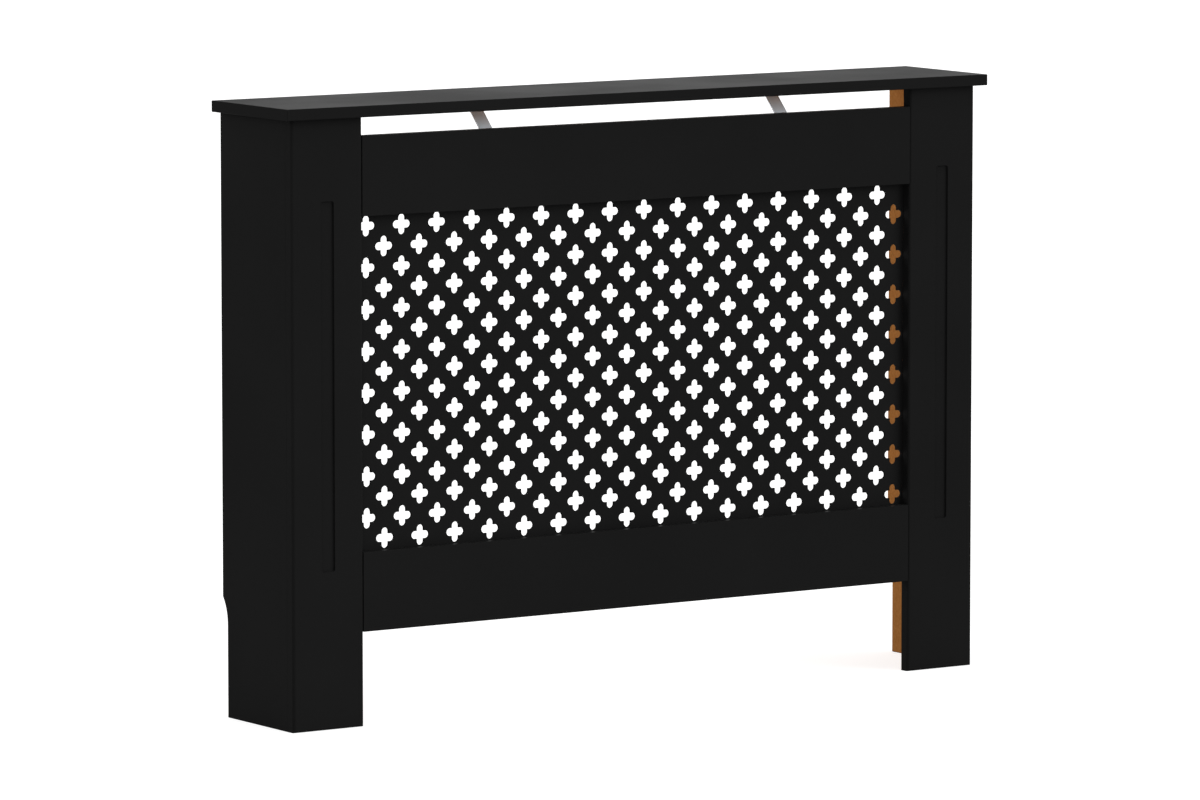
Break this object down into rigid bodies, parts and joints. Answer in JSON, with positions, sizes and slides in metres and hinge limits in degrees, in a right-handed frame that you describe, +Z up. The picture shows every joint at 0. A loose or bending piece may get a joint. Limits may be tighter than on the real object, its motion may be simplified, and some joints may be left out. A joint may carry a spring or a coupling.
{
  "type": "radiator cover cabinet",
  "caption": "Radiator cover cabinet: black board shelf on side panels, with a framed grille of staggered cross-shaped holes, an air gap under the shelf and an open back.",
  "frame": {"origin": "on the floor, in the middle of the shelf's outline", "axes": "+X to the right seen from the front, -Y to the front, +Y to the wall, +Z up"},
  "size_m": [1.12, 0.19, 0.815],
  "materials": {
    "painted_board": "black satin paint on fibreboard, bare brown fibreboard on the inner faces",
    "zinc_plated_steel": "dull zinc plate",
    "cast_zinc": "die-cast zinc",
    "black_steel": "black oxide",
    "beech_dowel": "bare beech"
  },
  "bodies": {
    "root": {"top_shelf": "painted_board", "left_stile": "painted_board", "right_stile": "painted_board", "left_side_panel": "painted_board", "right_side_panel": "painted_board", "top_rail": "painted_board", "bottom_rail": "painted_board", "grille_sheet": "painted_board", "shelf_straps": "zinc_plated_steel", "wall_brackets": "zinc_plated_steel", "rail_dowels": "beech_dowel", "stile_dowels": "beech_dowel", "shelf_dowels": "beech_dowel", "rail_cam_bolts": "zinc_plated_steel", "rail_cam_locks": "cast_zinc", "shelf_cam_bolts": "zinc_plated_steel", "shelf_cam_locks": "cast_zinc", "strap_rail_screws": "zinc_plated_steel", "strap_shelf_screws": "zinc_plated_steel", "grille_screws": "black_steel", "bracket_screws": "zinc_plated_steel"}
  },
  "joints": []
}
